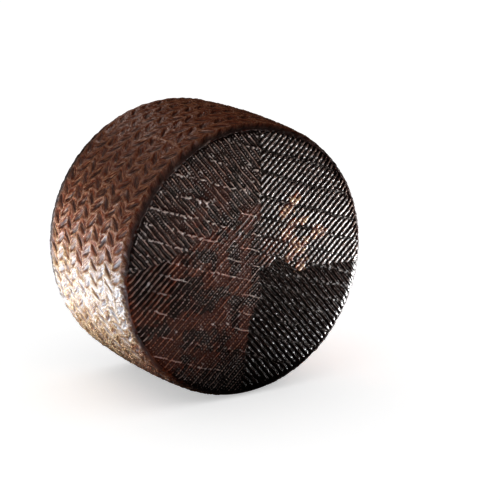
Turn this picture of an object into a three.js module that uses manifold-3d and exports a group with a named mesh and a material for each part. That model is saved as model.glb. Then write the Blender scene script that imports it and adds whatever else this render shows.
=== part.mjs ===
// A whole pecorino cheese wheel that stands on its rim.
// Millimetres. The wheel's axis runs along Y, its front face looks towards -Y, and Z is up.
// The origin lies on the floor, under the middle of the wheel.
import * as THREE from 'three';
import { mergeVertices } from 'three/addons/utils/BufferGeometryUtils.js';
import Module from 'manifold-3d';

// Wheel
const DIAMETER = 190; // at the middle of the side, over the crests
const HEIGHT = 110; // from face to face
const BULGE = 2.4; // how much less the radius is at either end of the side
const FRONT_CORNER = 7.7; // rounding between the side and the front face
const BACK_CORNER = 8.5;
const UNEVEN = 0.3; // slow unevenness of the pressed side

// Flat spot that the wheel rests on
const REST_WIDTH = 28;
const REST_FADE = 12; // the plait is pressed flat this far past either edge of the flat spot

// Plait pressed into the side by a woven grass band: rows of slanted pits between thin crests
const PLAIT_ROWS = 10;
const PLAIT_STRANDS = 58; // pits in one row round the wheel
const PLAIT_START = 4.4; // from the front face to the first row
const PLAIT_ROW = 9.53;
const PLAIT_SLANT = 7; // how far a pit leans round the wheel over its row's width
const PLAIT_DEPTH = 1.8;
const PIT_PLACE = 0.27; // of the way from one crest to the next, where a pit is deepest
const PLAIT_FADE = 4; // the pits get shallower this far from either end of the plait
const DEPTH_SPREAD = 0.15; // largest share by which one pit's depth differs from the rest
const SEED = 7;

// Fine ridges pressed into both faces by a board, in four fields round a cross.
// In each field they run outward, halfway between the cross's two arms.
const RIDGE_PITCH = 3.68;
const RIDGE_DEPTH = 0.8;
const RIDGED_RADIUS = 88.6; // the ridges reach down over the rounded corner as far as this
const CROSS_X = 1; // the middle of the cross, from the wheel's axis
const CROSS_Z = -0.5;
const CROSS_TURN = -5; // degrees, anticlockwise as seen from outside

// Worked out from these
const RADIUS = DIAMETER / 2;
const HALF_HEIGHT = HEIGHT / 2;
const AXIS_HEIGHT = Math.sqrt(RADIUS ** 2 - (REST_WIDTH / 2) ** 2);
const BOTTOM_ANGLE = -Math.PI / 2;
const COLUMNS = 2 * PLAIT_STRANDS;
const ARM_STEP = (RIDGE_PITCH / 2) * Math.SQRT2; // from a crest to the next groove, along an arm
const FACE_TURN = THREE.MathUtils.degToRad(CROSS_TURN);

// A repeatable draw from 0 to 1
function makeDraw(seed) {
  const modulus = 2 ** 32;
  let state = seed;
  return () => {
    state = (state * 1664525 + 1013904223) % modulus;
    return state / modulus;
  };
}

// The wheel's points and triangles
class Surface {
  points = [];
  triangles = [];

  addPoint(x, y, z) {
    this.points.push(x, y, z);
    return this.points.length / 3 - 1;
  }

  addTriangle(a, b, c) {
    this.triangles.push(a, b, c);
  }

  geometry() {
    const geometry = new THREE.BufferGeometry();
    geometry.setAttribute('position', new THREE.Float32BufferAttribute(this.points, 3));
    geometry.setIndex(this.triangles);
    return geometry;
  }
}

// Radius of the side without its rounded corners, y from the wheel's middle
function bulgedRadius(y) {
  return RADIUS - BULGE * (y / HALF_HEIGHT) ** 2;
}

function cornerAt(side) {
  const size = side < 0 ? FRONT_CORNER : BACK_CORNER;
  return { size, centre: bulgedRadius(HALF_HEIGHT - size) - size };
}

// Radius of the wheel at y, its rounded corners included
function wheelRadius(y) {
  const { size, centre } = cornerAt(y);
  const inset = HALF_HEIGHT - Math.abs(y);
  if (inset >= size) {
    return bulgedRadius(y);
  }
  return centre + Math.sqrt(size ** 2 - (size - inset) ** 2);
}

// How far the rounded corner lies below a face, at this distance from the wheel's axis
function cornerDrop(side, radius) {
  const { size, centre } = cornerAt(side);
  const past = Math.max(0, radius - centre);
  return size - Math.sqrt(size ** 2 - past ** 2);
}

// Slow unevenness, the same at the left and right ends of the wheel
function unevenness(angle, y) {
  const lean = y / HALF_HEIGHT;
  const waves = Math.cos(2 * angle) + Math.sin(3 * angle) * lean + 0.6 * Math.sin(5 * angle);
  return (UNEVEN * waves) / 2;
}

// 0 on the flat spot, rising to 1 away from it
function awayFromRest(angle) {
  const turn = angle - BOTTOM_ANGLE;
  const distance = Math.abs(Math.atan2(Math.sin(turn), Math.cos(turn))) * RADIUS;
  return THREE.MathUtils.smoothstep(distance, REST_WIDTH / 2, REST_WIDTH / 2 + REST_FADE);
}

// 0 at either end of the plait, 1 along its middle
function plaitStrength(y) {
  const start = PLAIT_START - HALF_HEIGHT;
  const end = start + PLAIT_ROWS * PLAIT_ROW;
  return THREE.MathUtils.smoothstep(Math.min(y - start, end - y), -1, PLAIT_FADE);
}

// Rings of a rounded corner: y and turn for each, from the ridged face's edge to the plait's edge
function cornerRings(side, plaitEdge, steps) {
  const first = cornerDrop(side, RIDGED_RADIUS);
  const rings = [];
  for (let step = 0; step < steps; step += 1) {
    const inset = THREE.MathUtils.lerp(first, plaitEdge, (step / steps) ** 1.5);
    rings.push({ y: side * (HALF_HEIGHT - inset), turn: 0, pitted: false });
  }
  return rings;
}

// Rings of the plait: one at each row's edge, and a pitted one along each row's middle
function plaitRings() {
  const rings = [];
  for (let half = 0; half <= 2 * PLAIT_ROWS; half += 1) {
    const y = PLAIT_START - HALF_HEIGHT + (half * PLAIT_ROW) / 2;
    const zigzag = [0, 0.5, 1, 0.5][half % 4];
    rings.push({ y, turn: (zigzag * PLAIT_SLANT) / RADIUS, pitted: half % 2 === 1 });
  }
  return rings;
}

// Adds one ring of points round the wheel, and gives their numbers
function addRing(surface, ring, draw) {
  const numbers = [];
  for (let column = 0; column < COLUMNS; column += 1) {
    const strand = Math.floor(column / 2) + (column % 2) * PIT_PLACE;
    const angle = (strand / PLAIT_STRANDS) * 2 * Math.PI + ring.turn;
    const away = awayFromRest(angle);
    let radius = wheelRadius(ring.y) + unevenness(angle, ring.y) * away;
    if (ring.pitted && column % 2 === 1) {
      const depth = PLAIT_DEPTH * (1 + DEPTH_SPREAD * (2 * draw() - 1));
      radius -= depth * plaitStrength(ring.y) * away;
    }
    numbers.push(surface.addPoint(radius * Math.cos(angle), ring.y, radius * Math.sin(angle)));
  }
  return numbers;
}

// Adds the wheel's side, and gives the first and last ring of points
function addSide(surface) {
  const draw = makeDraw(SEED);
  const plaitEnd = HEIGHT - PLAIT_START - PLAIT_ROWS * PLAIT_ROW;
  const rings = [
    ...cornerRings(-1, PLAIT_START, 2),
    ...plaitRings(),
    ...cornerRings(1, plaitEnd, 4).reverse(),
  ];
  const rows = rings.map((ring) => addRing(surface, ring, draw));
  for (let row = 0; row + 1 < rows.length; row += 1) {
    for (let column = 0; column < COLUMNS; column += 1) {
      const next = (column + 1) % COLUMNS;
      const [a, b] = [rows[row][column], rows[row][next]];
      const [c, d] = [rows[row + 1][column], rows[row + 1][next]];
      // The diagonal starts at the pit, so that each pit reaches the crests all round it
      if (rings[row].pitted === (column % 2 === 0)) {
        surface.addTriangle(a, c, b);
        surface.addTriangle(b, c, d);
      } else {
        surface.addTriangle(a, d, b);
        surface.addTriangle(a, c, d);
      }
    }
  }
  return [rows[0], rows[rows.length - 1]];
}

// Adds a point of a face. x is right and up is up as seen from outside, and height is out of the face
function addFacePoint(surface, side, x, up, height) {
  return surface.addPoint(-side * x, side * (HALF_HEIGHT + height), up);
}

// Where the line from (x, up) in a direction comes to a distance from the wheel's axis
function reachCircle(x, up, direction, radius) {
  const along = x * Math.cos(direction) + up * Math.sin(direction);
  const travel = -along + Math.sqrt(along ** 2 + radius ** 2 - x ** 2 - up ** 2);
  return [x + travel * Math.cos(direction), up + travel * Math.sin(direction)];
}

// Adds the crest or groove line that starts at a point of an arm: its points over the face's edge
function addLineEnds(surface, side, start, direction) {
  const radii = [cornerAt(side).centre, RIDGED_RADIUS];
  return radii.map((radius) => {
    const [x, up] = reachCircle(start.x, start.up, direction, radius);
    return addFacePoint(surface, side, x, up, start.height - cornerDrop(side, radius));
  });
}

// The points along one arm of the cross, crests and grooves in turn
function addArm(surface, side, quarter, centre) {
  const angle = FACE_TURN + (quarter * Math.PI) / 2;
  const arm = [centre];
  for (let step = 1; ; step += 1) {
    const x = CROSS_X + step * ARM_STEP * Math.cos(angle);
    const up = CROSS_Z + step * ARM_STEP * Math.sin(angle);
    if (Math.hypot(x, up) > cornerAt(side).centre) {
      return arm;
    }
    const height = step % 2 === 0 ? 0 : -RIDGE_DEPTH;
    arm.push({ x, up, height, number: addFacePoint(surface, side, x, up, height) });
  }
}

// Adds a ridged face, and gives its outer points in order round the wheel
function addFace(surface, side) {
  const number = addFacePoint(surface, side, CROSS_X, CROSS_Z, 0);
  const centre = { x: CROSS_X, up: CROSS_Z, height: 0, number };
  const arms = [0, 1, 2, 3].map((quarter) => addArm(surface, side, quarter, centre));
  const lines = [];
  arms.forEach((arm, quarter) => {
    const direction = FACE_TURN + ((quarter + 0.5) * Math.PI) / 2;
    const nextArm = arms[(quarter + 1) % 4];
    for (const start of [...arm.slice().reverse(), ...nextArm.slice(1)]) {
      lines.push({ start: start.number, ends: addLineEnds(surface, side, start, direction) });
    }
  });
  lines.forEach((line, index) => {
    const next = lines[(index + 1) % lines.length];
    surface.addTriangle(line.start, line.ends[0], next.ends[0]);
    if (line.start !== next.start) {
      surface.addTriangle(line.start, next.ends[0], next.start);
    }
    surface.addTriangle(line.ends[0], line.ends[1], next.ends[1]);
    surface.addTriangle(line.ends[0], next.ends[1], next.ends[0]);
  });
  return lines.map((line) => line.ends[1]);
}

// The points of a closed loop in order round the wheel, the first one again at the end
function inOrder(surface, side, numbers) {
  const loop = numbers.map((number) => {
    const [x, , up] = surface.points.slice(3 * number, 3 * number + 3);
    return { number, angle: Math.atan2(up, -side * x) };
  });
  loop.sort((a, b) => a.angle - b.angle);
  loop.push({ number: loop[0].number, angle: loop[0].angle + 2 * Math.PI });
  return loop;
}

// Joins a face's outer points to the side's first or last ring
function joinFace(surface, side, outer, ring) {
  const inner = inOrder(surface, side, outer);
  const around = inOrder(surface, side, ring);
  let i = 0;
  let j = 0;
  while (i + 1 < inner.length || j + 1 < around.length) {
    const nextInner = i + 1 < inner.length ? inner[i + 1].angle : Infinity;
    const nextAround = j + 1 < around.length ? around[j + 1].angle : Infinity;
    if (nextInner < nextAround) {
      surface.addTriangle(inner[i].number, around[j].number, inner[i + 1].number);
      i += 1;
    } else {
      surface.addTriangle(inner[i].number, around[j].number, around[j + 1].number);
      j += 1;
    }
  }
}

function wheelSurface() {
  const surface = new Surface();
  const [frontRing, backRing] = addSide(surface);
  joinFace(surface, -1, addFace(surface, -1), frontRing);
  joinFace(surface, 1, addFace(surface, 1), backRing);
  return surface.geometry();
}

const wasm = await Module();
wasm.setup();

function toSolid(geometry) {
  const bare = geometry.clone();
  bare.deleteAttribute('normal');
  bare.deleteAttribute('uv');
  const merged = mergeVertices(bare);
  const vertProperties = new Float32Array(merged.attributes.position.array);
  const triVerts = new Uint32Array(merged.index.array);
  return new wasm.Manifold(new wasm.Mesh({ numProp: 3, vertProperties, triVerts }));
}

function toGeometry(solid) {
  const mesh = solid.getMesh();
  const geometry = new THREE.BufferGeometry();
  geometry.setAttribute('position', new THREE.BufferAttribute(mesh.vertProperties, 3));
  geometry.setIndex(new THREE.BufferAttribute(mesh.triVerts, 1));
  return geometry;
}

// What is cut away below the wheel's flat spot
function belowRest() {
  const depth = 20;
  const geometry = new THREE.BoxGeometry(DIAMETER, 2 * HEIGHT, depth);
  geometry.translate(0, 0, -AXIS_HEIGHT - depth / 2);
  return geometry;
}

function cheeseWheel() {
  const solid = toSolid(wheelSurface()).subtract(toSolid(belowRest()));
  const rind = new THREE.MeshStandardMaterial({ color: 0x4a2a1e, roughness: 0.4, metalness: 0 });
  rind.name = 'rind';
  const mesh = new THREE.Mesh(toGeometry(solid), rind);
  mesh.name = 'cheese_wheel';
  mesh.position.z = AXIS_HEIGHT;
  return mesh;
}

const wheel = new THREE.Group();
wheel.add(cheeseWheel());

export default wheel;
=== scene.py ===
# A whole pecorino cheese wheel that stands on its rim: a plaited imprint round the side, a ridged board's
# imprint on both faces, and a dark oiled rind. Lengths are millimetres, unless a comment says otherwise.
# Angles are degrees where they have a name of their own, and radians in the functions. The wheel's axis
# runs along Y, the front face looks towards -Y, and the wheel stands on the floor at z 0.
import itertools
import math

import bpy
import numpy as np
from mathutils import Matrix, Vector
from mathutils.geometry import delaunay_2d_cdt


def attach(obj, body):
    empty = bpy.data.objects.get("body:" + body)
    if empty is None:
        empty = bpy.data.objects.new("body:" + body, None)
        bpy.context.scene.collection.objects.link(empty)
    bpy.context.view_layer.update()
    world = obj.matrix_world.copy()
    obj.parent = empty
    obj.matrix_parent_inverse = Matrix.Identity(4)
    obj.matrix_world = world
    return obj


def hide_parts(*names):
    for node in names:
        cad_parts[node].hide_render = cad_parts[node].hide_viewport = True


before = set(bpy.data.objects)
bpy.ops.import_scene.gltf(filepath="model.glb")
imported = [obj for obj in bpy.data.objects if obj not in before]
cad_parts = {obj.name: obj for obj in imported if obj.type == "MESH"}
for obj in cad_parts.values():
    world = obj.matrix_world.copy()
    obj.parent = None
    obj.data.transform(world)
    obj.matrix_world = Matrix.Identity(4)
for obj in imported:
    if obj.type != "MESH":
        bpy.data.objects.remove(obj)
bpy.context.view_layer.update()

METRES = 0.001
SEED = 7

# Wheel, as in the frame
DIAMETER = 190  # at the middle of the side, over the crests
HEIGHT = 110  # from face to face
BULGE = 2.4  # how much less the radius is at either end of the side
FRONT_CORNER = 7.7  # rounding between the side and the front face
BACK_CORNER = 8.5
UNEVEN = 0.3
REST_WIDTH = 28  # of the flat spot that the wheel stands on
REST_FADE = 12  # the plait is pressed flat this far past either edge of it

# Plait round the side: rows of slanted, pointed pits
PLAIT_ROWS = 10
PLAIT_STRANDS = 58  # pits in one row
PLAIT_START = 4.4  # from the front face to the first row
PLAIT_ROW = 9.53
PLAIT_FULL = 3  # how far past its rows the plait keeps its depth, and where it is gone
PLAIT_GONE = 8
PIT_PHASE = 6.3  # from angle 0 to the first pit's middle, in the rows that lean back
ROW_STAGGER = 4.2  # how much further round the pits of the other rows start
FORWARD_LEAN = 46  # between the rim and the pits of the first, third ... row
BACK_LEAN = 131  # of the other rows
PIT_DEPTH = 0.92
PIT_LENGTH = 13.6
PIT_WIDTH = 6.7
FORWARD_DEEPER = 0.15  # share by which the pits that lean forward are deeper
DEEPEST = -0.3  # where across its half width a pit is deepest, nearer its steeper wall
WALL_CURVE = 1.3  # powers: how hollow a pit's walls are, and how blunt its ends
END_CURVE = 0.8

# How far a pit strays from its place and lean, and by which shares its length, width and depth differ
STRAY_ROUND = 0.7
STRAY_BACK = 0.5
STRAY_LEAN = 6
LENGTH_SPREAD = 0.1
WIDTH_SPREAD = 0.13
DEPTH_SPREAD = 0.25

# Fine relief of the side: fibres and strokes along the strands, a line between two rows, and grain
FIBRE_PITCH = 1.5
FIBRE_HEIGHT = 0.19
STROKE_WIDTH = 0.95
STROKE_LENGTH = 5
STROKE_HEIGHT = 0.34
CORD_HEIGHT = 0.22
CORD_WIDTH = 1.1
EDGE_HEIGHT = 0.2  # of the thin crests between the pits
EDGE_WIDTH = 0.8
GRAIN_HEIGHT = 0.14
FINE_GRAIN_HEIGHT = 0.07

# Painted highlight: the paler stretch low on the left, where the glare falls, starts at this angle, and ends
# further round the further back it is
GLARE_START = 167
GLARE_END = 194  # at the front face
GLARE_TURN = 0.58  # degrees for each millimetre back
GLARE_BLEND = 20
GLARE_RAGGED = 8  # how far its edge strays in wide and in narrow waves
GLARE_FRAYED = 7

# Raised mould seam across the front half of the side, forked at its end
SEAM_ANGLE = 119
SEAM_START = 9  # from the front face
SEAM_END = 41
SEAM_HEIGHT = 1.3
SEAM_WIDTH = 1.4
SEAM_FADE = 3
SEAM_WAVE = 0.5
SEAM_WAVE_LENGTH = 5  # for a turn of one radian
FORK_SLANT = 0.9  # how far round the fork's arm goes for each millimetre back
FORK_LENGTH = 14
FORK_FADE = 2
FORK_HEIGHT = 0.8  # as a share of the seam's

# Imprint of a ridged board on both faces: ridges in four fields, crossed by thin strings
RIDGE_PITCH = 3.68
RIDGE_DEPTH = 0.85
RISING_RIDGES = 42.3  # the ridges of the upper right and lower left fields
FALLING_RIDGES = 129.0  # the ridges of the other two
# Powers that give the ridges their sections: thin in the left fields, broad at the far left, else rounded
THIN_CURVE = 6
BROAD_CURVE = 0.6
ROUNDED_CURVE = 1.3
# Arms of the crooked cross where the fields meet, on a face seen from outside
UPRIGHT_ARM_UP = (-88, -43, -34, -26, -8.6, 38, 85)
UPRIGHT_ARM_X = (-4, 2, 5, 12, 9.5, 11, 10.5)
LEFT_ARM_X = (-95, -58, -40, -15, 9.5)
LEFT_ARM_UP = (4, 10, 17, 29, 39)
RIGHT_ARM_X = (9.6, 27, 39, 55, 88)
RIGHT_ARM_UP = (-9, 0, -11, -10, -12)

# Strings, and rows of the weave between them
STRING_FALL = 19.5  # how much the strings fall towards the right
# How far above the face's middle each string passes, square to the strings
STRINGS = (-90, -74.7, -60, -45.3, -33, -21, -11.3, -1, 9, 19.7, 32, 45.5, 60.3, 75, 90)
STRING_WANDER = 1.2  # how far a string strays from its straight line, and over what length
STRING_WAVE = 18
STRING_RAGGED = 0.5
STRING_STRETCH = 11  # over about this length a string shows or has come off
STRING_WIDTH = 0.8
STRING_GAP = 1.15  # between the ends of the right fields' ridges
THREAD_WIDTH = 0.7  # of the string in that gap
WEAVE_ROWS = 4  # between two strings
WEAVE_SLANT = 0.16  # how much further each dash of a ridge leans, in ridge pitches
DOT_PITCH = 2.2  # small dots in the grooves of the left fields
DOT_HEIGHT = 0.42
HATCH_PITCH = 2.3  # beads on the thin crests of the left fields

# Patches of a face: x, up, size, and how much distance upwards counts, where under 1 makes them tall
BROAD_PATCH = (-72, -4, 24, 0.8)  # broad ridges
DARK_PATCH = (-74, -4, 22, 0.8)  # not worn to brown
UPPER_BROWN = (-28, 34, 34, 1)
MIDDLE_BROWN = (11, 7, 13, 0.8)
# Middles and sizes of the front face's tan spots
TAN_SPOTS = (
    (38, 38, 4.8), (31, 30.5, 5.4), (36, 21, 4.4), (45, 22.5, 3.4), (32, 15, 5), (56, 13, 5.2),
    (61, 12, 3.4), (37.5, 7.5, 4.4), (47, 8, 3.4), (42, 3, 4.8), (34, -1.5, 3.8), (43, -8, 4.4),
)
TAN_PITCH = 2.7  # of the cross-hatching in the tan spots
TAN_HATCH = 0.16
TAN_LUMPS = 0.2
CRUMB_HEIGHT = 0.45
FACE_GRAIN = 0.02

# Rim between a face and the side
# How far out the ridges reach, over the face and back round its corner, at each angle from the right up
RIDGED_ANGLES = (0, 30, 50, 70, 105, 122, 150, 165, 185, 240, 300, 360)
RIDGED_REACH = (93.4, 93.4, 92.8, 90.4, 90, 88.5, 88.7, 90.6, 91.6, 91.8, 92.6, 93.4)
REACH_RAGGED = 0.7  # how far that strays in wide and in narrow waves
REACH_FRAYED = 0.4
RIDGE_FADE = 1.6  # how far inside it the ridges start to sink
RIM_WIDTH = 1.6  # bare dark band between the ridges and the side's strands
RIM_BLEND = 0.7  # how far to either side of its end the side's relief takes over
ROUGH_RIM = 1.6  # width of the uneven edge outside the ridges
SHADE_BLEND = 1.5  # over which the side's shade next to the rim starts
# The side's painted shade next to the rim
CORNER_SHADE = 8  # how far the side is darker next to the rim
RIGHT_SHADE = 7  # on the right it is darkest this far, and fades out twice as far
# How dark the band is, the corner's painted shade low down and how much more high up, and the right's painted
# shade
BAND_DARK = 0.8
CORNER_DARK = 0.08
CORNER_DARKER = 0.72
RIGHT_DARK = 0.95
CORNER_HEIGHTS = (5, 45)  # between which the corner gets darker, measured from the middle up
RIGHT_PLACES = (30, 70)  # between which the right does, measured from the middle sideways
# At a face's far left the band is weaker by this share. The stretch's middle and size are measured upwards.
BAND_WEAKER = 0.65
FAR_LEFT_UP = -6
FAR_LEFT_SIZE = 26

# Mesh
STEP = 0.6
COLUMNS = 960
FACE_RADIUS = 92
CREST_RISE = 0.3  # how far a crest that counts as sharp stands over the smoothed surface
LAYOUT_STRIPS = 3  # the side's parts in the layout
LAYOUT_GAP = 3

# Worked out from these
RADIUS = DIAMETER / 2
HALF_HEIGHT = HEIGHT / 2
AXIS_HEIGHT = math.sqrt(RADIUS**2 - (REST_WIDTH / 2) ** 2)
PLAIT_PITCH = 2 * math.pi * RADIUS / PLAIT_STRANDS
PLAIT_FIRST = PLAIT_START - HALF_HEIGHT  # where the plait starts and ends along Y
PLAIT_LAST = PLAIT_FIRST + PLAIT_ROWS * PLAIT_ROW

# Numbers kept with the mesh's points, which the rind's material reads: how much a point is on a face, in a
# hollow and on a crest, its place across and along its strand or ridge, that strand's or ridge's own draw,
# how dark the rim band and the painted shade next to it are there, and how pale (partly painted glints),
# dry (on the side, the painted glare), brown and tan the skin is
VALUE_NAMES = ("face", "hollow", "convex", "across", "along", "own",
               "rim_and_shade", "pale", "dry", "brown", "tan")

# Random draws. A noise's start picks its own stretch of the table.
NOISE_CELLS = 32
draws = np.random.default_rng(SEED)
noise_table = draws.uniform(-1, 1, (NOISE_CELLS, NOISE_CELLS, NOISE_CELLS))
strand_draws = draws.uniform(-1, 1, (PLAIT_ROWS, PLAIT_STRANDS, 6))
ridge_draws = draws.uniform(-1, 1, 256)
dash_draws = draws.uniform(-1, 1, (64, 64))
FIRST_RIDGE_DRAW = 97  # of the ridge through a face's middle


def smoothstep(value, low, high):
    part = np.clip((value - low) / (high - low), 0, 1)
    return part * part * (3 - 2 * part)


def between(value, low, full, fade, end):
    """Rises from 0 at low to 1 at full, and falls from 1 at fade to 0 at the end."""
    return smoothstep(value, low, full) * (1 - smoothstep(value, fade, end))


def bell(distance, width):
    return np.exp(-((distance / width) ** 2))


def ripple(place, pitch, shift=0.0):
    """Even waves from -1 to 1."""
    return np.cos(2 * math.pi * place / pitch + shift)


def noise(points, size, start=0):
    """Smooth random values from -1 to 1 that change over about this size."""
    place = points / size + start
    cell = np.floor(place).astype(int)
    part = place - cell
    part = part * part * (3 - 2 * part)
    total = np.zeros(len(points))
    for corner in itertools.product((0, 1), repeat=3):
        x, y, z = ((cell + corner) % NOISE_CELLS).T
        weight = np.prod(np.where(corner, part, 1 - part), axis=1)
        total += noise_table[x, y, z] * weight
    return total


# Base form


def bulged_radius(y):
    return RADIUS - BULGE * (y / HALF_HEIGHT) ** 2


def corner_of(side):
    """The rounding of the corner in front (side -1) or at the back (1), and its middle's radius."""
    size = FRONT_CORNER if side < 0 else BACK_CORNER
    return size, bulged_radius(HALF_HEIGHT - size) - size


def onward(side, from_side):
    """Place along the side, carried on over a corner, at this distance from the side's end."""
    return side * (HALF_HEIGHT - corner_of(side)[0] + from_side)


def corner_stations(side):
    """Rows of a corner from the face's edge to the side: y, radius, the way out in both, and place onward."""
    size, centre = corner_of(side)
    first = math.asin((FACE_RADIUS - centre) / size)
    steps = round((math.pi / 2 - first) * size / STEP)
    turn = np.linspace(first, math.pi / 2, steps, endpoint=False)
    y = side * (HALF_HEIGHT - size + size * np.cos(turn))
    place = onward(side, size * (math.pi / 2 - turn))
    return np.stack([y, centre + size * np.sin(turn), side * np.cos(turn), np.sin(turn), place], axis=1)


def side_stations():
    """The same for the whole side, from the front face's edge to the back face's."""
    low = FRONT_CORNER - HALF_HEIGHT
    high = HALF_HEIGHT - BACK_CORNER
    y = np.linspace(low, high, round((high - low) / STEP) + 1)
    slope = 2 * BULGE * y / HALF_HEIGHT**2
    middle = np.stack([y, bulged_radius(y), slope, np.ones(len(y)), y], axis=1)
    return np.concatenate([corner_stations(-1), middle, corner_stations(1)[::-1]])


def unevenness(angle, y):
    """Slow unevenness of the pressed side."""
    lean = y / HALF_HEIGHT
    waves = np.cos(2 * angle) + np.sin(3 * angle) * lean + 0.6 * np.sin(5 * angle)
    return UNEVEN * waves / 2


def away_from_rest(angle):
    """0 on the flat spot, rising to 1 away from it."""
    turn = angle + math.pi / 2
    distance = np.abs(np.arctan2(np.sin(turn), np.cos(turn))) * RADIUS
    return smoothstep(distance, REST_WIDTH / 2, REST_WIDTH / 2 + REST_FADE)


# Relief of the side


def pits(angle, y):
    """Depth of the plait's pits, crests between them, the nearest pit's place across and along, its draw."""
    arc = angle * RADIUS
    nearest_row = np.floor((y - PLAIT_FIRST) / PLAIT_ROW).astype(int)
    depth = np.zeros(len(y))
    # Closeness to the nearest pit and to the next, at first far from any
    best = np.full(len(y), -99.0)
    second = best
    across = np.zeros(len(y))
    lengthwise = np.zeros(len(y))
    own = np.zeros(len(y))
    for row_step, strand_step in itertools.product((-1, 0, 1), repeat=2):
        row = nearest_row + row_step
        forward = row % 2 == 0
        phase = PIT_PHASE + ROW_STAGGER * forward
        strand = np.floor((arc - phase) / PLAIT_PITCH + 0.5).astype(int) + strand_step
        draw = strand_draws[np.clip(row, 0, PLAIT_ROWS - 1), strand % PLAIT_STRANDS]
        # Place in the pit, from its middle
        from_middle = arc - phase - strand * PLAIT_PITCH - STRAY_ROUND * draw[:, 0]
        up_row = y - PLAIT_FIRST - (row + 0.5) * PLAIT_ROW - STRAY_BACK * draw[:, 1]
        lean = np.radians(np.where(forward, FORWARD_LEAN, BACK_LEAN) + STRAY_LEAN * draw[:, 2])
        along = from_middle * np.cos(lean) + up_row * np.sin(lean)
        sideways = up_row * np.cos(lean) - from_middle * np.sin(lean)
        # Its outline is a pointed lens, and closeness is over 0 inside it
        lens = 1 - (along / (PIT_LENGTH / 2 * (1 + LENGTH_SPREAD * draw[:, 3]))) ** 2
        share = sideways / (PIT_WIDTH / 2 * (1 + WIDTH_SPREAD * draw[:, 4]))
        closeness = lens - np.abs(share)
        place = share / np.maximum(lens, 0.05)
        wall = np.where(place < DEEPEST, (1 + place) / (1 + DEEPEST), (1 - place) / (1 - DEEPEST))
        hollow = np.clip(wall, 0, 1) ** WALL_CURVE * np.maximum(lens, 0) ** END_CURVE
        own_depth = PIT_DEPTH * (1 + FORWARD_DEEPER * forward + DEPTH_SPREAD * draw[:, 5])
        depth = np.maximum(depth, np.where(closeness > 0, own_depth * hollow, 0))
        nearer = closeness > best
        second = np.where(nearer, best, np.maximum(second, closeness))
        best = np.where(nearer, closeness, best)
        across = np.where(nearer, sideways, across)
        lengthwise = np.where(nearer, along, lengthwise)
        own = np.where(nearer, draw[:, 5], own)
    edge = bell((best - second) * PIT_WIDTH / 4, EDGE_WIDTH)
    return depth, edge, across, lengthwise, own


def seam(angle, y):
    """Height of the mould seam and its fork."""
    arc = (angle - math.radians(SEAM_ANGLE)) * RADIUS
    back = y + HALF_HEIGHT
    stem = bell(arc - SEAM_WAVE * np.sin(back / SEAM_WAVE_LENGTH), SEAM_WIDTH)
    stem = stem * between(back, SEAM_START - SEAM_FADE, SEAM_START + SEAM_FADE,
                          SEAM_END - FORK_FADE, SEAM_END + SEAM_FADE)
    past = back - SEAM_END
    arm = bell(arc - FORK_SLANT * past, SEAM_WIDTH)
    arm = arm * between(past, -FORK_FADE, 1, FORK_LENGTH - FORK_FADE, FORK_LENGTH + FORK_FADE)
    return np.maximum(stem, FORK_HEIGHT * arm) * SEAM_HEIGHT


def dryness(points, angle, y):
    """1 in the paler stretch low on the left, a painted highlight where the glare falls, with an uneven edge.
    """
    turn = np.degrees(angle) % 360 + GLARE_RAGGED * noise(points, 14, 50) + GLARE_FRAYED * noise(points, 3, 54)
    end = GLARE_END + GLARE_TURN * (y + HALF_HEIGHT)
    return between(turn, GLARE_START, GLARE_START + GLARE_BLEND, end, end + GLARE_BLEND)


def side_relief(points, angle, y):
    """Height over the crests, and the values that the rind's material reads."""
    strength = smoothstep(np.minimum(y - PLAIT_FIRST, PLAIT_LAST - y), -PLAIT_GONE, -PLAIT_FULL)
    strength = strength * (1 + 0.25 * noise(points, 34, 3))
    depth, edge, across, along, own = pits(angle, y)
    fibres = ripple(across, FIBRE_PITCH, 5 * own) * (0.5 + 0.5 * noise(points, 5, 11))
    strand_place = np.stack([across / STROKE_WIDTH, along / STROKE_LENGTH, 20 * own], axis=1)
    strokes = noise(strand_place, 1, 4)
    height = (FIBRE_HEIGHT * fibres + STROKE_HEIGHT * strokes) * np.maximum(strength, 0.8) - depth * strength
    height += GRAIN_HEIGHT * noise(points, 3.5, 5) + FINE_GRAIN_HEIGHT * noise(points, 1.4, 8)
    row_place = (y - PLAIT_FIRST) / PLAIT_ROW + 0.06 * noise(points, 9, 51)
    height += CORD_HEIGHT * bell((row_place - np.round(row_place)) * PLAIT_ROW, CORD_WIDTH) * strength
    edge = edge * np.clip(0.6 + 0.7 * noise(points, 6, 53), 0, 1) * strength
    height += EDGE_HEIGHT * edge
    height = np.minimum(height + seam(angle, y), np.maximum(height, 0.3)) * away_from_rest(angle)
    values = {"hollow": np.clip(-height / PIT_DEPTH, 0, 1), "across": across, "along": along, "own": own}
    values.update(dry=dryness(points, angle, y), pale=edge)
    return height, values


# Rim between a face and the side


def beyond_ridges(points, x, up):
    """How far outside the ridged disc of a face a point lies, along the face and back over the corner."""
    back = HALF_HEIGHT - np.abs(points[:, 1])
    reach = np.interp(np.degrees(np.arctan2(up, x)) % 360, RIDGED_ANGLES, RIDGED_REACH)
    uneven = REACH_RAGGED * noise(points, 4, 40) + REACH_FRAYED * noise(points, 1.8, 41)
    return np.hypot(x, up) + back - reach - uneven


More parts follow.
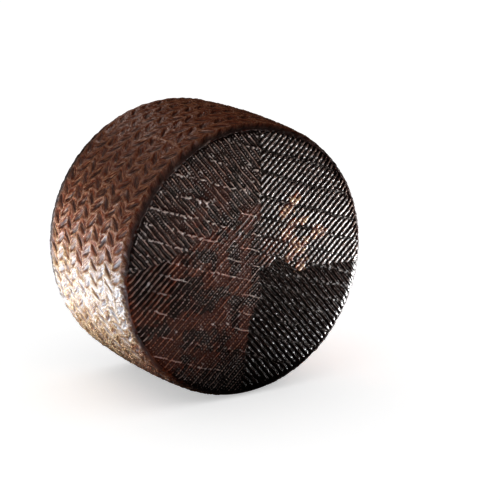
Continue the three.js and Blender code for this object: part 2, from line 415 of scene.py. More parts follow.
def rim_values(points, beyond):
    """How much a point belongs to a face rather than to the side, and how dark the rim band and the painted
    shade next to it make it.
    """
    x, y, up = points.T
    width = RIM_WIDTH * (1 + 0.5 * noise(points, 7, 44) + 0.3 * noise(points, 2.2, 45))
    on_face = 1 - smoothstep(beyond, width - RIM_BLEND, width + RIM_BLEND)
    # The bare band is broken, and weaker at a face's far left
    band = between(beyond, -1.5, 0.2, width - 1, width + 1.8)
    band = BAND_DARK * band * smoothstep(noise(points, 9, 48) + 0.6 * noise(points, 2.5, 49), -0.9, 0.1)
    far_left = (x * y > 0) * bell(up - FAR_LEFT_UP, FAR_LEFT_SIZE)
    band = band * (1 - BAND_WEAKER * far_left)
    # Painted shade: the side next to it is darker, the more so the higher up, and stays dark further back on
    # the right
    corner = between(beyond, 0, SHADE_BLEND, SHADE_BLEND, CORNER_SHADE + 2 * noise(points, 5, 52))
    corner = corner * (CORNER_DARK + CORNER_DARKER * smoothstep(up, *CORNER_HEIGHTS))
    right = between(beyond, 0, SHADE_BLEND, RIGHT_SHADE, 2 * RIGHT_SHADE)
    right = right * smoothstep(-np.sign(y) * x, *RIGHT_PLACES)
    return on_face, np.maximum(band, np.maximum(corner, RIGHT_DARK * right))


# Relief of the faces. x is right and up is up as seen from outside.


def upright_arm(up):
    """Where the line between the left and right fields stands at this height."""
    return np.interp(up, UPRIGHT_ARM_UP, UPRIGHT_ARM_X)


def left_arm(x):
    """How high the line between the two left fields lies."""
    return np.interp(x, LEFT_ARM_X, LEFT_ARM_UP)


def right_arm(x):
    """How high the line between the two right fields lies."""
    return np.interp(x, RIGHT_ARM_X, RIGHT_ARM_UP)


def level_arm(x):
    """Both of these, as one line with a step."""
    return np.interp(x, LEFT_ARM_X + RIGHT_ARM_X, LEFT_ARM_UP + RIGHT_ARM_UP)


def patch(x, up, middle_x, middle_up, size, upward):
    """1 in the middle of a patch, and 0 well outside it."""
    return bell(np.hypot(x - middle_x, (up - middle_up) * upward), size)


def turned(x, up, degrees):
    """Place along and across lines that rise towards the right by this angle."""
    turn = math.radians(degrees)
    return x * math.cos(turn) + up * math.sin(turn), up * math.cos(turn) - x * math.sin(turn)


def string_places(points, x, up, lower_left):
    """Place among the strings, counted in strings, distance from the nearest, and how much of it shows."""
    along, level = turned(x, up, -STRING_FALL)
    level = level + STRING_WANDER * noise(points, STRING_WAVE, 21)
    place = np.interp(level, STRINGS, range(len(STRINGS)))
    nearest = np.round(place).astype(int)
    away = level - np.array(STRINGS)[nearest]
    stretch = np.stack([along / STRING_STRETCH, nearest, 0 * along], axis=1)
    shown = 0.1 + 0.3 * lower_left + 0.8 * noise(stretch, 1, 22)
    shown += (1.6 - 0.8 * lower_left) * noise(points, 1.7, 23)
    return place, away + STRING_RAGGED * noise(points, 2.6, 24), np.clip(shown, 0, 1)


def ridge_places(points, x, up, left, down_row):
    """Place across the ridges, in pitches, and along them. The ridges wander, and their dashes lean."""
    wander = 0.10 * noise(points, 22, 2) + (0.04 + 0.05 * left) * noise(points, 7, 13)
    wander += (0.015 + 0.055 * left) * noise(points, 3, 18)
    wander = wander - WEAVE_SLANT * down_row * (1 - left)
    rising = (x < upright_arm(up)) == (up < level_arm(x))
    along_up, across_up = turned(x, up, RISING_RIDGES)
    along_down, across_down = turned(x, up, FALLING_RIDGES)
    across = np.where(rising, across_up, across_down) / RIDGE_PITCH + wander
    return across, np.where(rising, along_up, along_down)


def rounded_crests(x, wave, dash, down_row):
    """Right fields: rounded ridges, cut into dashes by the weave's rows."""
    notch = bell(0.5 - np.abs(down_row), 0.13) * smoothstep(dash, -0.5, 0.6)
    cut = 0.1 + 0.3 * (1 - smoothstep(x, 22, 45))
    return wave**ROUNDED_CURVE * (1 - cut * notch) * (0.92 + 0.08 * dash)


def thin_crests(points, across, along, own, wave, dash, lower_left):
    """Left fields: thin crests of changing strength, crossed by beads."""
    stretch = np.stack([across * 3, along / 6, 0 * along], axis=1)
    hatch = ripple(along, HATCH_PITCH, 6 * own) * (0.6 + 0.6 * noise(points, 5, 56))
    strength = 0.7 + 0.2 * dash + 0.45 * noise(stretch, 1, 35) + (0.12 + 0.4 * lower_left) * hatch
    return wave**THIN_CURVE * np.clip(strength, 0.1, 1.1)


def strung(points, height, along, away, shown, string, wave, left):
    """The height with its strings: beaded lines on the left, threads in gaps in the ridges on the right."""
    beads = 0.5 + 0.5 * ripple(along, DOT_PITCH)
    height = height * (1 - 0.7 * string * left) + string * (0.1 + 0.3 * beads) * left
    gap = 0.93 * bell(away, STRING_GAP) * (1 - left)
    # A thread is thicker between two ridges
    knot = (0.25 + 0.75 * (1 - wave)) * (0.55 + 0.35 * noise(points, 2.4, 26))
    thread = bell(away, THREAD_WIDTH) * np.clip(0.3 + shown, 0, 1) * knot * (1 - left)
    return height + gap * (-0.9 * RIDGE_DEPTH - height) + thread


def brown_patches(points, x, up, left):
    """Where the face is worn to brown, kept black low down as painted shadow, and where to tan."""
    lower = left * smoothstep(left_arm(x) - up, -2, 3)
    # Painted shadow: low down the brown fades out, and the face stays black
    lower = lower * (1 - patch(x, up, *DARK_PATCH)) * smoothstep(up - 0.25 * x, -72, -50)
    upper = 0.6 * left * patch(x, up, *UPPER_BROWN)
    middle = patch(x, up, *MIDDLE_BROWN) * smoothstep(up - right_arm(x), -3, 3)
    patchy = smoothstep(noise(points, 9, 33) + 0.6 * noise(points, 2.5, 34), -0.5, 0.25)
    brown = np.clip(np.maximum(lower, middle) * (0.1 + 0.9 * patchy) + upper * patchy, 0, 1)
    brown = brown * (0.6 + 0.4 * left)
    tan = np.zeros(len(x))
    for spot_x, spot_up, size in TAN_SPOTS:
        along, across = turned(x - spot_x, up - spot_up, RISING_RIDGES)
        tan = np.maximum(tan, bell(np.hypot(0.85 * along, 1.15 * across), size))
    tan = np.where(points[:, 1] < 0, tan, 0)
    worn_through = tan + 0.6 * noise(points, 2.2, 36) + 0.3 * noise(points, 1.1, 37)
    return np.maximum(brown, smoothstep(tan, 0.3, 0.6)), smoothstep(worn_through, 0.5, 0.85) * (tan > 0.05)


def face_relief(points, x, up):
    """Height over the crests, and the values that the rind's material reads."""
    left = smoothstep(upright_arm(up) - x, -1, 1)
    lower_left = left * smoothstep(left_arm(x) - up, -1, 1)
    string_place, away, shown = string_places(points, x, up, lower_left)
    string = bell(away, STRING_WIDTH * (0.8 + 0.2 * left - 0.25 * lower_left)) * shown
    weave = string_place * WEAVE_ROWS
    row = np.floor(weave).astype(int)
    down_row = weave - row - 0.5
    # Ridges
    across, along = ridge_places(points, x, up, left, down_row)
    number = np.round(across).astype(int)
    own = ridge_draws[(number + FIRST_RIDGE_DRAW) % len(ridge_draws)]
    dash = dash_draws[row % len(dash_draws), number % len(dash_draws)]
    wave = 0.5 + 0.5 * ripple(across, 1)
    dots = (0.5 - 0.5 * ripple(along, DOT_PITCH, 8 * own)) * (1 - wave) ** 2
    thin = thin_crests(points, across, along, own, wave, dash, lower_left)
    thin += dots * DOT_HEIGHT / RIDGE_DEPTH * (0.7 + 0.5 * noise(points, 6, 17))
    broad = patch(x, up, *BROAD_PATCH)
    thin = thin * (1 - broad) + wave**BROAD_CURVE * broad
    crest = rounded_crests(x, wave, dash, down_row) * (1 - left) + thin * left
    height = -RIDGE_DEPTH * (1 - crest) * (1 + 0.2 * noise(points, 12, 6))
    height += (0.04 + 0.05 * left) * noise(points, 4, 9) * crest
    height = strung(points, height, along, away, shown, string, wave, left)
    # Worn, cross-hatched tan spots
    brown, tan = brown_patches(points, x, up, left)
    height = height * (1 - 0.3 * tan) + TAN_LUMPS * tan * noise(points, 1.4, 38)
    height += TAN_HATCH * tan * ripple(along, TAN_PITCH)
    # Crumbs, more of them along the strings and in the upper left field, and grain
    crumbly = smoothstep(noise(points, 5, 25) + string + 0.25 * left * smoothstep(up, 10, 30), 0.55, 1.0)
    crumbly = crumbly * smoothstep(noise(points, 2, 29), -0.3, 0.3)
    height += crumbly * (CRUMB_HEIGHT * noise(points, 1.5, 27) + 0.2)
    height += FACE_GRAIN * noise(points, 1.3, 31)
    # The ridges end at the rim, which is uneven
    beyond = beyond_ridges(points, x, up)
    height = height * (1 - smoothstep(beyond, -RIDGE_FADE, -0.2))
    rough = 0.3 * noise(points, 1.7, 46) + 0.2 * noise(points, 4, 47) - 0.15
    height += bell(beyond - 1, ROUGH_RIM) * rough
    # Pale strings and dots, partly painted glints; lighter skin and paler worn crests in the left fields,
    # half of that on the upper right, as painted highlight on its crests, none on the lower right
    pale_dots = 0.8 * dots * left * (1 - broad) * (1 - 0.85 * brown)
    pale_string = string * (0.5 + 0.3 * left - 0.25 * lower_left)
    pale = np.maximum(np.maximum(pale_string, crumbly * left), pale_dots)
    dry = np.maximum(left * (1 - 0.65 * broad), 0.5 * smoothstep(up - right_arm(x), -1, 1))
    values = {"hollow": np.clip(-height / RIDGE_DEPTH, 0, 1), "across": across * RIDGE_PITCH, "along": along}
    values.update(own=own, pale=pale, dry=dry, brown=brown, tan=tan)
    return height, values


# Mesh


def round_angles():
    """The angles of the side's columns."""
    return np.linspace(0, 2 * math.pi, COLUMNS, endpoint=False)


def convexity(height, rows, columns):
    """How far each point of a grid stands out of its surroundings: 1 on sharp crests, -1 in sharp grooves."""
    grid = height.reshape(rows, columns)
    smooth = grid
    for axis in (0, 1):
        around = [np.roll(smooth, step, axis) for step in (-2, -1, 1, 2)]
        smooth = (smooth + sum(around)) / 5
    sharp = np.clip((grid - smooth) / CREST_RISE, -1, 1)
    sharp[:2] = 0
    sharp[-2:] = 0
    return sharp.ravel()


def side_grid(stations):
    """The side's points, row by row, and their values."""
    rows = len(stations)
    angles = np.tile(round_angles(), rows)
    y, radius, out_y, out_radius, place = (np.repeat(numbers, COLUMNS) for numbers in stations.T)
    base = np.stack([radius * np.cos(angles), y, radius * np.sin(angles)], axis=1)
    height, values = side_relief(base, angles, place)
    on_seam = (seam(angles, place) / SEAM_HEIGHT) ** 2
    values["convex"] = np.maximum(convexity(height, rows, COLUMNS), 0.8 * on_seam)
    seen_x = np.where(y < 0, base[:, 0], -base[:, 0])
    values["face"], values["rim_and_shade"] = rim_values(base, beyond_ridges(base, seen_x, base[:, 2]))
    rise = height * out_radius + unevenness(angles, y) * away_from_rest(angles) * out_radius**2
    points = base + np.stack([rise * np.cos(angles), height * out_y, rise * np.sin(angles)], axis=1)
    return points, values


def side_triangles(rows):
    """Triangles between the side's rows, and each corner's row and column for the layout."""
    row, column = (grid.ravel() for grid in np.meshgrid(range(rows - 1), range(COLUMNS), indexing="ij"))
    corners = [(0, 0), (0, 1), (1, 1), (1, 0)]
    quads = [np.stack([row + down, column + right], axis=1) for down, right in corners]
    picks = [quads[0], quads[2], quads[1], quads[0], quads[3], quads[2]]
    places = np.stack(picks, axis=1).reshape(-1, 3, 2)
    triangles = places[:, :, 0] * COLUMNS + places[:, :, 1] % COLUMNS
    return triangles, places


def face_points(side):
    """A face's points inside its edge, in a grid along the ridges: x and up from outside, place, values."""
    count = int(FACE_RADIUS / STEP) + 3
    grid = np.arange(-count, count + 1) * STEP
    v, u = (part.ravel() for part in np.meshgrid(grid, grid, indexing="ij"))
    x, up = turned(u, v, -RISING_RIDGES)
    size, centre = corner_of(side)
    radius = np.hypot(x, up)
    out_radius = np.clip(radius - centre, 0, size) / size
    out_y = np.sqrt(1 - out_radius**2)
    y = side * (HALF_HEIGHT - size * (1 - out_y))
    across = -side * x
    base = np.stack([across, y, up], axis=1)
    height, values = face_relief(base, x, up)
    angle = np.arctan2(up, across)
    beyond = beyond_ridges(base, x, up)
    values["face"], values["rim_and_shade"] = rim_values(base, beyond)
    # Outside the rim the side's relief takes over
    outer = np.flatnonzero(values["face"] < 1)
    from_side = size * np.arccos(out_radius[outer]) + np.maximum(centre - radius[outer], 0)
    side_height, side_values = side_relief(base[outer], angle[outer], onward(side, from_side))
    share = values["face"][outer]
    height[outer] = height[outer] * share + side_height * (1 - share)
    for name, numbers in side_values.items():
        values[name][outer] = np.where(share > 0.5, values[name][outer], numbers)
    # Next to the rim few worn crests show, and less brown
    unworn = smoothstep(beyond, -3, -1) * (1 - 0.6 * smoothstep(noise(base, 3, 55), 0.1, 0.5))
    values["convex"] = convexity(height, len(grid), len(grid)) * (1 - unworn)
    values["brown"] = values["brown"] * (1 - 0.7 * smoothstep(beyond, -2.5, 0))
    rise = height * out_radius + unevenness(angle, y) * away_from_rest(angle) * out_radius**2
    safe = np.maximum(radius, 1e-6)
    points = base + np.stack([rise * across / safe, side * height * out_y, rise * up / safe], axis=1)
    inside = radius < FACE_RADIUS - 0.6 * STEP
    return x[inside], up[inside], points[inside], {name: numbers[inside] for name, numbers in values.items()}


def face_part(side):
    """A face's new points, values and triangles, and the places of their corners on the flat face.

    The triangles count the side's edge row first, as numbers under COLUMNS, and then the new points.
    """
    x, up, points, values = face_points(side)
    flat_x = np.concatenate([-side * FACE_RADIUS * np.cos(round_angles()), x])
    flat_up = np.concatenate([FACE_RADIUS * np.sin(round_angles()), up])
    flat = [Vector(point) for point in zip(flat_x, flat_up)]
    found = delaunay_2d_cdt(flat, [], [], 0, 1e-5)
    order = np.array([group[0] for group in found[3]])
    triangles = order[np.array(found[2])]
    return points, values, triangles, np.stack([flat_x[triangles], flat_up[triangles]], axis=2)


def side_layout(stations, places):
    """Each corner's place in the layout, with the side in strips, and the width that they take up."""
    steps = np.hypot(np.diff(stations[:, 0]), np.diff(stations[:, 1]))
    down = np.concatenate([[0], np.cumsum(steps)])
    per_strip = COLUMNS // LAYOUT_STRIPS
    arc_step = 2 * math.pi * RADIUS / COLUMNS
    strip = places[:, :, 1].min(axis=1, keepdims=True) // per_strip
    layout_u = LAYOUT_GAP + (places[:, :, 1] - strip * per_strip) * arc_step
    layout_v = LAYOUT_GAP + strip * (down[-1] + LAYOUT_GAP) + down[places[:, :, 0]]
    return np.stack([layout_u, layout_v], axis=2), LAYOUT_GAP + per_strip * arc_step


def wheel_arrays():
    """Points, triangles, each corner's place in the layout, and the material's values."""
    stations = side_stations()
    side_points, side_values = side_grid(stations)
    triangles, places = side_triangles(len(stations))
    strips, strips_width = side_layout(stations, places)
    points = [side_points]
    all_triangles = [triangles]
    layout = [strips]
    values = {name: [side_values.get(name, np.zeros(len(side_points)))] for name in VALUE_NAMES}
    total = len(side_points)
    middle_u = strips_width + LAYOUT_GAP + FACE_RADIUS
    middle_v = LAYOUT_GAP + FACE_RADIUS
    for side, edge_row in ((-1, 0), (1, len(stations) - 1)):
        new_points, new_values, found, flat = face_part(side)
        on_edge = found < COLUMNS
        all_triangles.append(np.where(on_edge, edge_row * COLUMNS + found, total + found - COLUMNS))
        layout.append(flat + np.array([middle_u, middle_v]))
        middle_v += 2 * FACE_RADIUS + LAYOUT_GAP
        points.append(new_points)
        for name in VALUE_NAMES:
            values[name].append(new_values.get(name, np.zeros(len(new_points))))
        total += len(new_points)
    layout_size = max(middle_u + FACE_RADIUS + LAYOUT_GAP, 4 * FACE_RADIUS + 3 * LAYOUT_GAP)
    values = {name: np.concatenate(parts) for name, parts in values.items()}
    return np.concatenate(points), np.concatenate(all_triangles), np.concatenate(layout) / layout_size, values


def make_wheel():
    points, triangles, layout, values = wheel_arrays()
    points[:, 2] = np.maximum(points[:, 2] + AXIS_HEIGHT, 0)
    mesh = bpy.data.meshes.new("cheese_wheel_rind")
    mesh.vertices.add(len(points))
    mesh.vertices.foreach_set("co", (points * METRES).astype(np.float32).ravel())
    mesh.loops.add(triangles.size)
    mesh.loops.foreach_set("vertex_index", triangles.astype(np.int32).ravel())
    mesh.polygons.add(len(triangles))
    mesh.polygons.foreach_set("loop_start", np.arange(0, triangles.size, 3, dtype=np.int32))
    mesh.update(calc_edges=True)
    mesh.shade_smooth()
    uv_map = mesh.uv_layers.new(name="OFBake")
    uv_map.data.foreach_set("uv", layout.astype(np.float32).ravel())
    for name, numbers in values.items():
        attribute = mesh.attributes.new(name, "FLOAT", "POINT")
        attribute.data.foreach_set("value", numbers.astype(np.float32))
    wheel = bpy.data.objects.new("cheese_wheel_rind", mesh)
    bpy.context.scene.collection.objects.link(wheel)
    return wheel


# Rind

# The mix node's sockets for colours
MIX_A = 6
MIX_B = 7
MIX_RESULT = 2


class Nodes:
    """Short calls for making a material's nodes."""

    def __init__(self, material):
        material.use_nodes = True
        self.tree = material.node_tree
        self.shader = self.tree.nodes["Principled BSDF"]

    def link(self, value, socket):
        """Gives a socket a number, a colour or another node's output."""
        if isinstance(value, (int, float)):
            socket.default_value = value
        elif isinstance(value, tuple):
            socket.default_value = (*value, 1)
        else:
            self.tree.links.new(value, socket)

    def value(self, name):
        node = self.tree.nodes.new("ShaderNodeAttribute")
        node.attribute_name = name
        return node.outputs["Fac"]

    def math(self, operation, a, b):
        node = self.tree.nodes.new("ShaderNodeMath")
        node.operation = operation
        self.link(a, node.inputs[0])
        self.link(b, node.inputs[1])
        return node.outputs[0]

    def times(self, a, b):
        return self.math("MULTIPLY", a, b)

    def mix(self, share, a, b):
        node = self.tree.nodes.new("ShaderNodeMix")
        node.data_type = "RGBA"
        self.link(share, node.inputs["Factor"])
        self.link(a, node.inputs[MIX_A])
        self.link(b, node.inputs[MIX_B])
        return node.outputs[MIX_RESULT]

    def span(self, value, from_low, from_high, to_low=0.0, to_high=1.0):
        """A value carried smoothly from one range to another."""
        node = self.tree.nodes.new("ShaderNodeMapRange")
        node.interpolation_type = "SMOOTHSTEP"
        self.link(value, node.inputs["Value"])
        node.inputs["From Min"].default_value = from_low
        node.inputs["From Max"].default_value = from_high
        node.inputs["To Min"].default_value = to_low
        node.inputs["To Max"].default_value = to_high
        return node.outputs[0]

    def noise(self, size, detail=3.0):
        """Noise that changes over about this many millimetres."""
        node = self.tree.nodes.new("ShaderNodeTexNoise")
        node.inputs["Scale"].default_value = 1 / (size * METRES)
        node.inputs["Detail"].default_value = detail
        self.tree.links.new(self.place(), node.inputs["Vector"])
        return node.outputs["Fac"]

    def streaks(self, across, along):
        """Noise in streaks along the strands and ridges, this many millimetres wide and long."""
        vector = self.tree.nodes.new("ShaderNodeCombineXYZ")
        self.link(self.math("DIVIDE", self.value("across"), across), vector.inputs[0])
        self.link(self.math("DIVIDE", self.value("along"), along), vector.inputs[1])
        self.link(self.times(self.value("own"), 40.0), vector.inputs[2])
        node = self.tree.nodes.new("ShaderNodeTexNoise")
        node.inputs["Scale"].default_value = 1
        node.inputs["Detail"].default_value = 2
        self.tree.links.new(vector.outputs[0], node.inputs["Vector"])
        return node.outputs["Fac"]

    def place(self):
        if "Texture Coordinate" not in self.tree.nodes:
            self.tree.nodes.new("ShaderNodeTexCoord").name = "Texture Coordinate"
        return self.tree.nodes["Texture Coordinate"].outputs["Object"]

    def bump(self, height, distance, normal=None):
        """Bumps of this many millimetres, on top of those of another normal if given."""
        node = self.tree.nodes.new("ShaderNodeBump")
        node.inputs["Strength"].default_value = 1
        node.inputs["Distance"].default_value = distance * METRES
        self.link(height, node.inputs["Height"])
        if normal is not None:
            self.tree.links.new(normal, node.inputs["Normal"])
        return node.outputs["Normal"]


def rgb(red, green, blue):
    """A colour from its usual 0 to 255 values, made linear."""
    return tuple(((part / 255 + 0.055) / 1.055) ** 2.4 for part in (red, green, blue))


SIDE_CREST = rgb(170, 124, 94)
SIDE_SKIN = rgb(108, 53, 35)
# Pits of the side, painted shade, also used for its darker streaks
SIDE_PIT = rgb(58, 27, 19)
# Paler colours of the painted highlight where the glare falls low on the left
GLARE_CREST = rgb(184, 152, 112)
GLARE_SKIN = rgb(116, 74, 48)
GLARE_PIT = rgb(72, 40, 25)
# Dark rim band, and painted shade on the side next to it
RIM_DARK_AND_SHADE = rgb(30, 12, 8)
OILED_SKIN = rgb(24, 9, 7)
FACE_SKIN = rgb(48, 20, 14)
# Worn crests of the face, partly painted highlight
FACE_CREST_AND_HIGHLIGHT = rgb(212, 188, 176)
# Grooves of the face, painted shade
FACE_GROOVE_SHADE = rgb(12, 5, 4)
BROWN_SKIN = rgb(196, 98, 58)
BROWN_CREST = rgb(184, 132, 106)
BROWN_GROOVE = rgb(72, 29, 17)
TAN_CREST = rgb(232, 198, 158)
TAN_GROOVE = rgb(84, 40, 26)
# Pale strings, dots and crumbs, partly painted glints
STRING_PALE_AND_GLINT = rgb(238, 232, 228)
STREAK_WIDTH = 0.6
STREAK_LENGTH = 4.5
STREAK_BUMP = 0.45
PORE_SIZE = 0.8
PORE_BUMP = 0.03
SPECULAR = 0.4


def side_colour(nodes, streaks):
    """Brown skin with darker pits as painted shade, and worn, paler crests, and paler in all in the painted
    highlight of the glare low on the left.
    """
    dry = nodes.value("dry")
    convex = nodes.value("convex")
    skin = nodes.mix(dry, SIDE_SKIN, GLARE_SKIN)
    pit = nodes.mix(dry, SIDE_PIT, GLARE_PIT)
    crest = nodes.mix(dry, SIDE_CREST, GLARE_CREST)
    # Pits and sharp grooves are darkened: painted shade in the hollows
    colour = nodes.mix(nodes.span(nodes.value("hollow"), 0.1, 0.8), skin, pit)
    colour = nodes.mix(nodes.span(convex, -0.05, -0.7, 0.0, 0.8), colour, pit)
    worn = nodes.times(nodes.span(convex, 0.1, 0.75), nodes.span(nodes.noise(9), 0.3, 0.7, 0.45, 1.0))
    worn = nodes.math("MAXIMUM", worn, nodes.times(nodes.value("pale"), 0.75))
    colour = nodes.mix(worn, colour, crest)
    colour = nodes.mix(nodes.span(streaks, 0.5, 0.66, 0.0, 0.7), colour, pit)
    return nodes.mix(nodes.span(streaks, 0.46, 0.34, 0.0, 0.45), colour, crest)


def face_colour(nodes, brown_share, tan_share):
    """Oiled black skin with worn crests that are partly painted highlight, grooves darkened as painted shade,
    brown and tan where it is worn, and pale strings and dots that are partly painted glints.
    """
    dry = nodes.value("dry")
    convex = nodes.value("convex")
    groove = nodes.span(nodes.value("hollow"), 0.1, 0.6)
    crest = nodes.span(convex, 0.15, 0.8)
    # Crests worn paler, partly as painted highlight: most in the left fields, half as much on the upper right
    worn = nodes.times(crest, nodes.span(nodes.noise(5), 0.35, 0.65, 0.1, 0.8))
    worn = nodes.times(worn, nodes.span(dry, 0.0, 1.0, 0.05, 1.0))
    # Grooves darkened to near black: painted shade
    colour = nodes.mix(groove, nodes.mix(dry, OILED_SKIN, FACE_SKIN), FACE_GROOVE_SHADE)
    colour = nodes.mix(worn, colour, FACE_CREST_AND_HIGHLIGHT)
    broken_crest = nodes.times(crest, nodes.span(nodes.noise(2.5), 0.4, 0.6, 0.25, 1.0))
    brown = nodes.mix(broken_crest, nodes.mix(groove, BROWN_SKIN, BROWN_GROOVE), BROWN_CREST)
    colour = nodes.mix(brown_share, colour, brown)
    colour = nodes.mix(tan_share, colour, nodes.mix(groove, TAN_CREST, TAN_GROOVE))
    # Strings, dots and crumbs painted pale grey, partly as painted glints
    string = nodes.times(nodes.value("pale"), nodes.span(convex, -0.1, 0.5))
    return nodes.mix(nodes.times(string, 0.7), colour, STRING_PALE_AND_GLINT)


def roughness(nodes, on_face, rim_and_shade, brown_share, tan_share):
    """The side is waxy and duller in its pits, the face oiled but for its worn patches, the rim dull."""
    grain = nodes.noise(1.2, 4)
    pit = nodes.span(nodes.value("hollow"), 0.2, 0.8, 0.0, 0.2)
    waxy = nodes.math("ADD", nodes.span(grain, 0.3, 0.7, 0.17, 0.27), pit)
    worn = nodes.math("MAXIMUM", nodes.times(brown_share, 0.7), tan_share)
    oiled = nodes.math("ADD", nodes.span(grain, 0.3, 0.7, 0.1, 0.16), nodes.times(worn, 0.2))
    side = nodes.times(waxy, nodes.math("SUBTRACT", 1.0, on_face))
    both = nodes.math("ADD", side, nodes.times(oiled, on_face))
    return nodes.math("ADD", both, nodes.times(rim_and_shade, 0.6))


def rind_material():
    material = bpy.data.materials.new("rind")
    nodes = Nodes(material)
    on_face = nodes.value("face")
    rim_and_shade = nodes.value("rim_and_shade")
    brown_share = nodes.value("brown")
    tan_share = nodes.value("tan")
    streaks = nodes.streaks(STREAK_WIDTH, STREAK_LENGTH)
    face = face_colour(nodes, brown_share, tan_share)
    colour = nodes.mix(on_face, side_colour(nodes, streaks), face)
    # Darkest at the rim band and in the painted shade beside it
    nodes.link(nodes.mix(rim_and_shade, colour, RIM_DARK_AND_SHADE), nodes.shader.inputs["Base Color"])
    rough = roughness(nodes, on_face, rim_and_shade, brown_share, tan_share)
    nodes.link(rough, nodes.shader.inputs["Roughness"])
    # Bumps are weaker on the face
    strands = nodes.bump(nodes.times(streaks, nodes.span(on_face, 0, 1, 1, 0.15)), STREAK_BUMP)
    pores = nodes.times(nodes.noise(PORE_SIZE, 2), nodes.span(on_face, 0, 1, 1, 0.2))
    nodes.link(nodes.bump(pores, PORE_BUMP, strands), nodes.shader.inputs["Normal"])
    nodes.shader.inputs["Specular IOR Level"].default_value = SPECULAR
    return material


# Studio, with distances and sizes in metres. Azimuth 0 is in front of the front face, and 90 on its right.

PLAIN = (1, 1, 1)
WARM = (1, 0.8, 0.72)
WARMISH = (1, 0.86, 0.82)
COOL = (0.83, 0.91, 1)
ICY = (0.76, 0.98, 1.18)
# Lit parts of the floor: name, azimuth, distance from the middle, size, watts, colour
GLOWS = (
    ("right_front", 72, 0.25, 0.1, 1.35, PLAIN),
    ("right", 60, 0.25, 0.12, 0.4, PLAIN),
    ("right_far", 45, 0.4, 0.1, 0.25, WARM),
    ("front_right", 30, 0.8, 0.25, 0.25, WARM),
    ("front_under", 0, 0.25, 0.1, 0.075, WARM),
    ("left", -60, 0.25, 0.12, 0.18, COOL),
    ("left_under", -90, 0.17, 0.05, 0.22, ICY),
    ("left_back", -120, 0.25, 0.14, 0.6, PLAIN),
    ("glare_low", -125, 0.208, 0.05, 0.4, ICY),
    ("glare_far", -140, 0.262, 0.05, 0.065, ICY),
    ("glare_near", -134, 0.173, 0.04, 0.05, ICY),
)
GLOW_HEIGHT = 0.004
# Softboxes: name, azimuth, elevation, distance from the middle, width, height, watts, colour
PANELS = (
    ("over_left", -85, 50, 1.3, 0.3, 0.25, 4.3, WARM),
    ("over_back_left", -145, 35, 1.3, 0.3, 0.25, 0.8, WARM),
    ("over_back", -180, 35, 0.5, 0.12, 0.1, 0.11, WARM),
    ("over_front", 0, 35, 1.3, 0.3, 0.25, 0.7, WARMISH),
)
SKY_LIGHT = 2.0
SKY_SPREAD = 130
WORLD_LIGHT = 0.01
FLOOR_SIZE = 12
FLOOR_GREY = (0.9, 0.9, 0.9, 1)
FLOOR_ROUGHNESS = 0.9
FLOOR_GLOW = 0.5
WHITE = (1, 1, 1, 1)


def make_floor():
    bpy.ops.mesh.primitive_plane_add(size=FLOOR_SIZE, location=(0, 0, 0))
    floor = bpy.context.object
    floor.name = "floor"
    material = bpy.data.materials.new("floor")
    shader = Nodes(material).shader
    shader.inputs["Base Color"].default_value = FLOOR_GREY
    shader.inputs["Roughness"].default_value = FLOOR_ROUGHNESS
    shader.inputs["Emission Color"].default_value = WHITE
    shader.inputs["Emission Strength"].default_value = FLOOR_GLOW
    floor.data.materials.append(material)
    return floor


def direction(azimuth, elevation):
    """From the wheel's middle towards a light or the camera."""
    a = math.radians(azimuth)
    e = math.radians(elevation)
    return Vector((math.sin(a) * math.cos(e), -math.cos(a) * math.cos(e), math.sin(e)))


def add_panel(name, azimuth, elevation, distance, width, height, watts, colour):
    """A softbox that faces the wheel's middle."""
    toward = direction(azimuth, elevation)
    light = bpy.data.lights.new(name, "AREA")
    light.shape = "RECTANGLE"
    light.size = width
    light.size_y = height
    light.energy = watts
    light.color = colour
    panel = bpy.data.objects.new(name, light)
    panel.rotation_euler = toward.to_track_quat("Z", "Y").to_euler()
    panel.location = Vector((0, 0, AXIS_HEIGHT * METRES)) + toward * distance
    panel.visible_camera = False
    bpy.context.scene.collection.objects.link(panel)
    return panel


def add_glow(name, azimuth, away, size, watts, colour):
    """A lit part of the floor: a square just over it that shines up at the wheel."""
    glow = add_panel(name, azimuth, 0, away, size, size, watts, colour)
    glow.rotation_euler = (math.pi, 0, -math.radians(azimuth))
    glow.location.z = GLOW_HEIGHT


def light_only(light, piece):
    """Keeps a light from shining on anything else."""
    receivers = bpy.data.collections.new(light.name)
    receivers.objects.link(piece)
    light.light_linking.receiver_collection = receivers


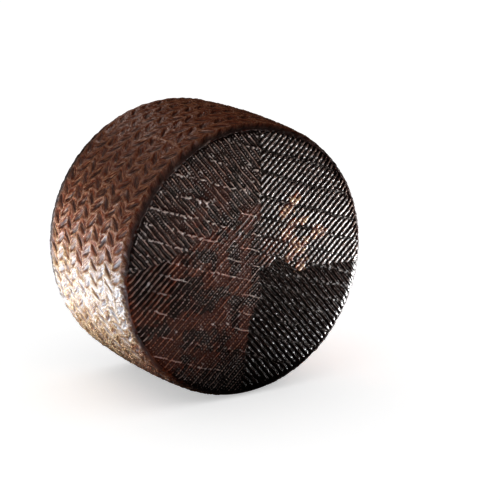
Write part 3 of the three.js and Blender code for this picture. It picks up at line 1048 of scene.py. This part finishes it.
def light_studio(wheel, floor):
    for glow in GLOWS:
        add_glow(*glow)
    for panel in PANELS:
        light_only(add_panel(*panel), wheel)
    sky = bpy.data.lights.new("floor_light", "SUN")
    sky.energy = SKY_LIGHT
    sky.angle = math.radians(SKY_SPREAD)
    overhead = bpy.data.objects.new("floor_light", sky)
    bpy.context.scene.collection.objects.link(overhead)
    light_only(overhead, floor)
    floor.visible_glossy = False
    floor.visible_diffuse = False
    world = bpy.data.worlds.new("studio")
    world.use_nodes = True
    background = world.node_tree.nodes["Background"]
    background.inputs["Color"].default_value = WHITE
    background.inputs["Strength"].default_value = WORLD_LIGHT
    bpy.context.scene.world = world
    bpy.context.scene.view_settings.view_transform = "Standard"


# Camera, as fitted to the wheel's outline
CAMERA_AZIMUTH = -31.99
CAMERA_RISE = 15.324
CAMERA_DISTANCE = 1371
FOCAL_PIXELS = 2004.57
IMAGE_SIZE = 500
MIDDLE_PIXEL = (204.51, 243.86)  # where the middle of the wheel falls in the picture
SENSOR_WIDTH = 36


def place_camera():
    turn = math.radians(CAMERA_AZIMUTH)
    back = direction(CAMERA_AZIMUTH, CAMERA_RISE)
    right = Vector((math.cos(turn), math.sin(turn), 0))
    up = back.cross(right)
    aside = (MIDDLE_PIXEL[0] - IMAGE_SIZE / 2) / FOCAL_PIXELS
    above = (IMAGE_SIZE / 2 - MIDDLE_PIXEL[1]) / FOCAL_PIXELS
    middle = Vector((0, 0, AXIS_HEIGHT))
    location = (middle + CAMERA_DISTANCE * (back - right * aside - up * above)) * METRES
    camera = bpy.data.cameras.new("camera")
    camera.sensor_width = SENSOR_WIDTH
    camera.lens = FOCAL_PIXELS * SENSOR_WIDTH / IMAGE_SIZE
    holder = bpy.data.objects.new("camera", camera)
    turned_back = Matrix((right, up, back)).transposed()
    holder.matrix_world = Matrix.Translation(location) @ turned_back.to_4x4()
    bpy.context.scene.collection.objects.link(holder)
    bpy.context.scene.camera = holder


wheel = make_wheel()
wheel.data.materials.append(rind_material())
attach(wheel, "root")
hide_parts("cheese_wheel")
floor = make_floor()
light_studio(wheel, floor)
place_camera()
